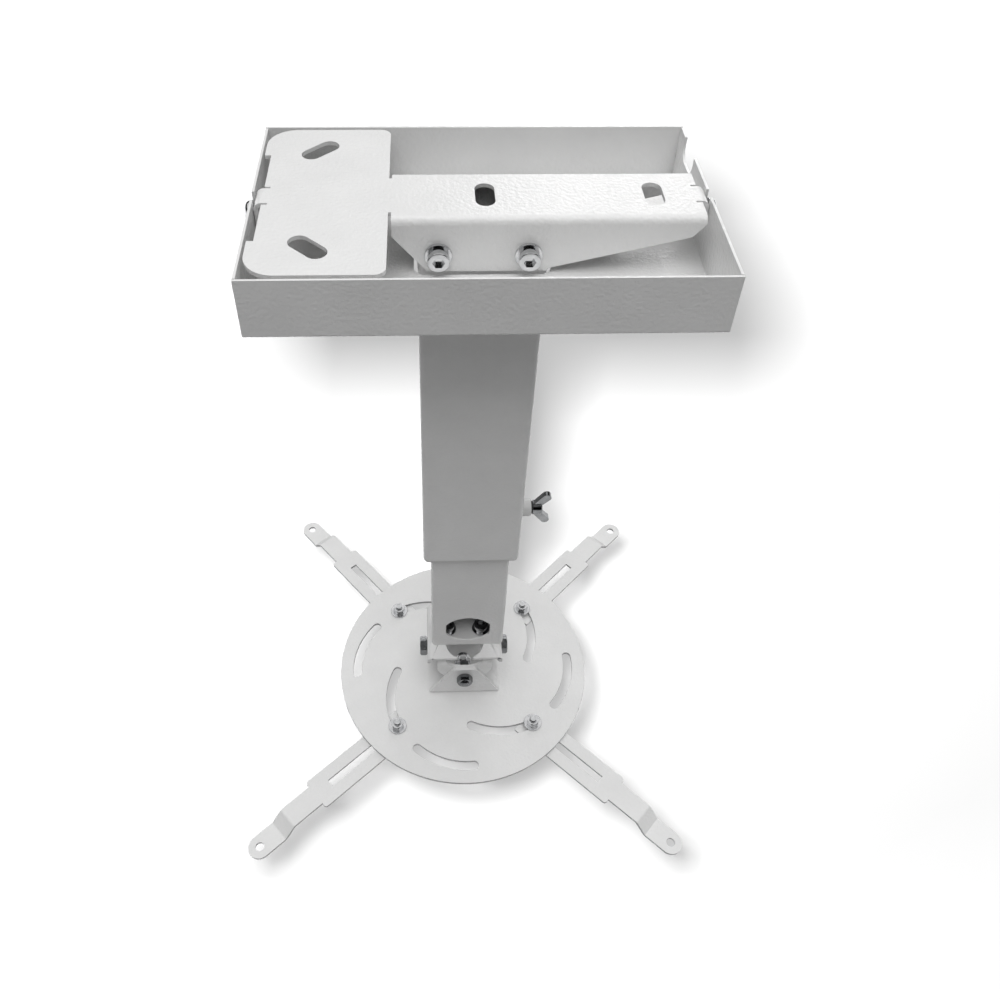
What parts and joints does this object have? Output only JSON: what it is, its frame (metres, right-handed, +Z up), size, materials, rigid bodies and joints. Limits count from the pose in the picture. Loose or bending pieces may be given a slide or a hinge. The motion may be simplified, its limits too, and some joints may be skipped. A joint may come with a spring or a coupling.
{
  "type": "projector ceiling mount",
  "caption": "Telescopic ceiling mount with a cover tray, a locking wing screw, a tilt and roll head, and a slotted disc with adjustable arms.",
  "frame": {"origin": "point on the ceiling plane on the column's axis", "axes": "+Z up through the ceiling, +X to the locking screw's side, +Y to the back"},
  "size_m": [0.2913, 0.2889, 0.4187],
  "materials": {
    "powder_coat": "fine textured white powder coat",
    "zinc": "bright zinc plate",
    "chrome": "bright chrome plate",
    "plastic": "moulded, matt"
  },
  "bodies": {
    "ceiling": {"ceiling_bracket": "powder_coat", "outer_tube": "powder_coat", "wing_boss": "powder_coat", "mouth_guide": "plastic", "column_bolts": "zinc", "column_washers": "zinc", "column_nuts": "zinc", "cover_screws": "zinc"},
    "cover": {"cover_tray": "powder_coat"},
    "wing": {"wing_screw": "chrome"},
    "drop": {"inner_tube": "powder_coat", "end_plate": "powder_coat", "top_guide": "plastic", "saddle_bracket": "powder_coat", "saddle_screws": "zinc", "saddle_washers": "zinc", "tilt_bolts": "zinc", "tilt_washers": "zinc", "tilt_nuts": "zinc"},
    "tilt": {"middle_bracket": "powder_coat", "roll_bolts": "zinc", "roll_washers": "zinc", "roll_nuts": "zinc"},
    "roll": {"disc_bracket": "powder_coat", "swivel_bolt": "zinc", "swivel_washers": "zinc", "swivel_nut": "zinc"},
    "swivel": {"disc": "powder_coat"},
    "slider_br": {"arm_washer_br": "zinc", "arm_nut_br": "zinc"},
    "pivot_br": {"arm_bolt_br": "zinc", "arm_lower_washer_br": "zinc"},
    "reach_br": {"arm_br": "powder_coat"},
    "slider_bl": {"arm_washer_bl": "zinc", "arm_nut_bl": "zinc"},
    "pivot_bl": {"arm_bolt_bl": "zinc", "arm_lower_washer_bl": "zinc"},
    "reach_bl": {"arm_bl": "powder_coat"},
    "slider_fl": {"arm_washer_fl": "zinc", "arm_nut_fl": "zinc"},
    "pivot_fl": {"arm_bolt_fl": "zinc", "arm_lower_washer_fl": "zinc"},
    "reach_fl": {"arm_fl": "powder_coat"},
    "slider_fr": {"arm_washer_fr": "zinc", "arm_nut_fr": "zinc"},
    "pivot_fr": {"arm_bolt_fr": "zinc", "arm_lower_washer_fr": "zinc"},
    "reach_fr": {"arm_fr": "powder_coat"}
  },
  "joints": [
    {"name": "cover_slide", "type": "slide", "parent": "ceiling", "child": "cover", "axis": [0, 0, -1], "range_m": [0, 0.165]},
    {"name": "wing_turn", "type": "hinge", "parent": "ceiling", "child": "wing", "pos_m": [0.037, 0, -0.2205], "axis": [1, 0, 0], "range_deg": [0, 360]},
    {"name": "column_slide", "type": "slide", "parent": "ceiling", "child": "drop", "axis": [0, 0, -1], "range_m": [-0.033, 0.14]},
    {"name": "tilt_hinge", "type": "hinge", "parent": "drop", "child": "tilt", "pos_m": [-0.002, 0, -0.378], "axis": [1, 0, 0], "range_deg": [-15, 15]},
    {"name": "roll_hinge", "type": "hinge", "parent": "tilt", "child": "roll", "pos_m": [-0.002, 0, -0.383], "axis": [0, 1, 0], "range_deg": [-15, 15]},
    {"name": "swivel_turn", "type": "hinge", "parent": "roll", "child": "swivel", "pos_m": [-0.002, 0, -0.406], "axis": [0, 0, 1], "continuous": true},
    {"name": "slider_br", "type": "hinge", "parent": "swivel", "child": "slider_br", "pos_m": [0.0004, 0.026, -0.406], "axis": [0, 0, 1], "range_deg": [-51, 0]},
    {"name": "pivot_br", "type": "hinge", "parent": "slider_br", "child": "pivot_br", "pos_m": [0.04693, 0.04893, -0.406], "axis": [0, 0, 1], "range_deg": [-15, 15]},
    {"name": "reach_br", "type": "slide", "parent": "pivot_br", "child": "reach_br", "axis": [-0.7071, -0.7071, 0], "range_m": [0, 0.03]},
    {"name": "slider_bl", "type": "hinge", "parent": "swivel", "child": "slider_bl", "pos_m": [-0.028, 0.0024, -0.406], "axis": [0, 0, 1], "range_deg": [-51, 0]},
    {"name": "pivot_bl", "type": "hinge", "parent": "slider_bl", "child": "pivot_bl", "pos_m": [-0.05093, 0.04893, -0.406], "axis": [0, 0, 1], "range_deg": [-9.7, 20.3]},
    {"name": "reach_bl", "type": "slide", "parent": "pivot_bl", "child": "reach_bl", "axis": [0.6388, -0.7694, 0], "range_m": [0, 0.03]},
    {"name": "slider_fl", "type": "hinge", "parent": "swivel", "child": "slider_fl", "pos_m": [-0.0044, -0.026, -0.406], "axis": [0, 0, 1], "range_deg": [-51, 0]},
    {"name": "pivot_fl", "type": "hinge", "parent": "slider_fl", "child": "pivot_fl", "pos_m": [-0.05093, -0.04893, -0.406], "axis": [0, 0, 1], "range_deg": [-10.6, 19.4]},
    {"name": "reach_fl", "type": "slide", "parent": "pivot_fl", "child": "reach_fl", "axis": [0.7593, 0.6508, 0], "range_m": [0, 0.03]},
    {"name": "slider_fr", "type": "hinge", "parent": "swivel", "child": "slider_fr", "pos_m": [0.024, -0.0024, -0.406], "axis": [0, 0, 1], "range_deg": [-51, 0]},
    {"name": "pivot_fr", "type": "hinge", "parent": "slider_fr", "child": "pivot_fr", "pos_m": [0.04693, -0.04893, -0.406], "axis": [0, 0, 1], "range_deg": [-16.2, 13.8]},
    {"name": "reach_fr", "type": "slide", "parent": "pivot_fr", "child": "reach_fr", "axis": [-0.7218, 0.6921, 0], "range_m": [0, 0.03]}
  ]
}
